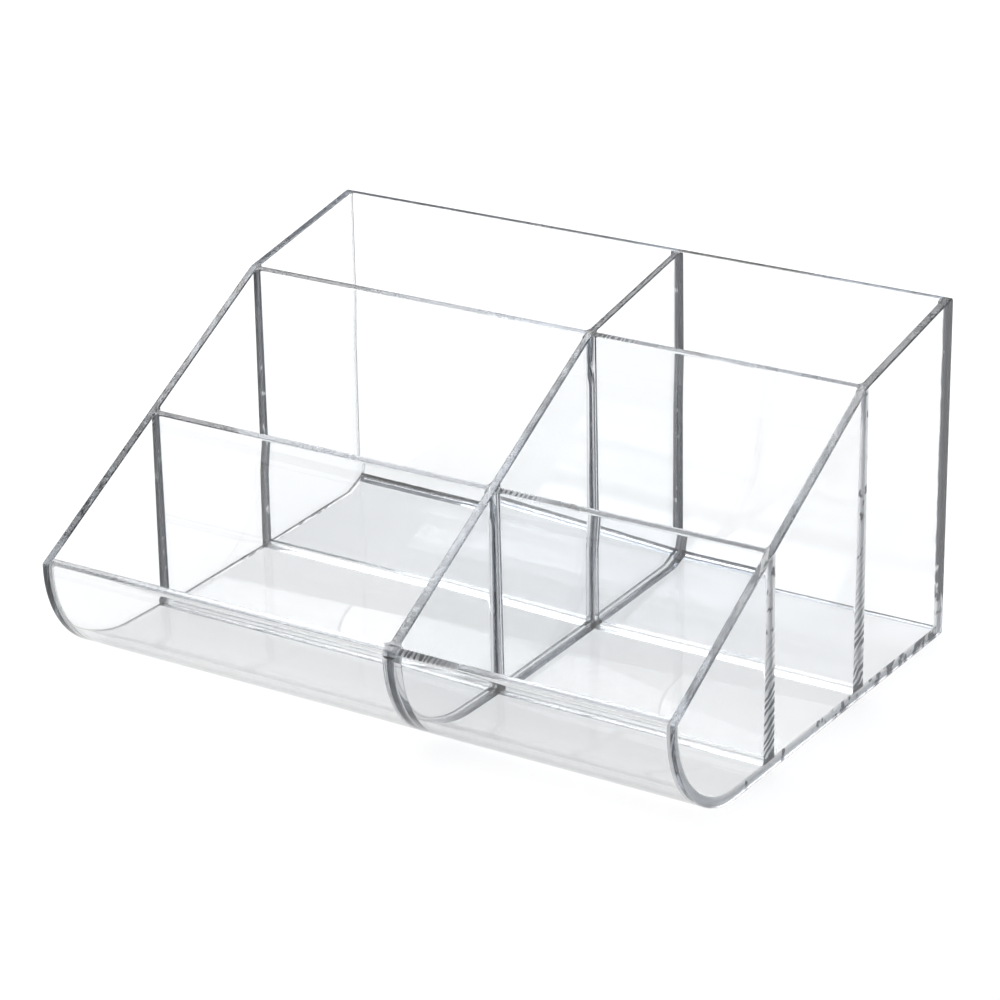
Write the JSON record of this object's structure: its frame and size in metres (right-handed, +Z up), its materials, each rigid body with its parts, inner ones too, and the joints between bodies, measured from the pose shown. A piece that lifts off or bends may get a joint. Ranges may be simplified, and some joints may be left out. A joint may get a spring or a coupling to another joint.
{
  "type": "vanity organizer",
  "caption": "Clear open-top vanity organizer with a tall back, sloping sides, dividers in two bays and a front lip that curves up from the floor.",
  "frame": {"origin": "centre of the bounding box on the underside, on the surface that the organizer stands on", "axes": "+X to the user's right, +Y from the front lip to the back wall, +Z up"},
  "size_m": [0.24, 0.18, 0.1197],
  "materials": {
    "clear_plastic": "polished, clear and colourless"
  },
  "bodies": {
    "root": {"base_tray": "clear_plastic", "back_wall": "clear_plastic", "left_side_wall": "clear_plastic", "right_side_wall": "clear_plastic", "centre_divider": "clear_plastic", "left_rear_divider": "clear_plastic", "left_front_divider": "clear_plastic", "right_rear_divider": "clear_plastic", "right_front_divider": "clear_plastic"}
  },
  "joints": []
}
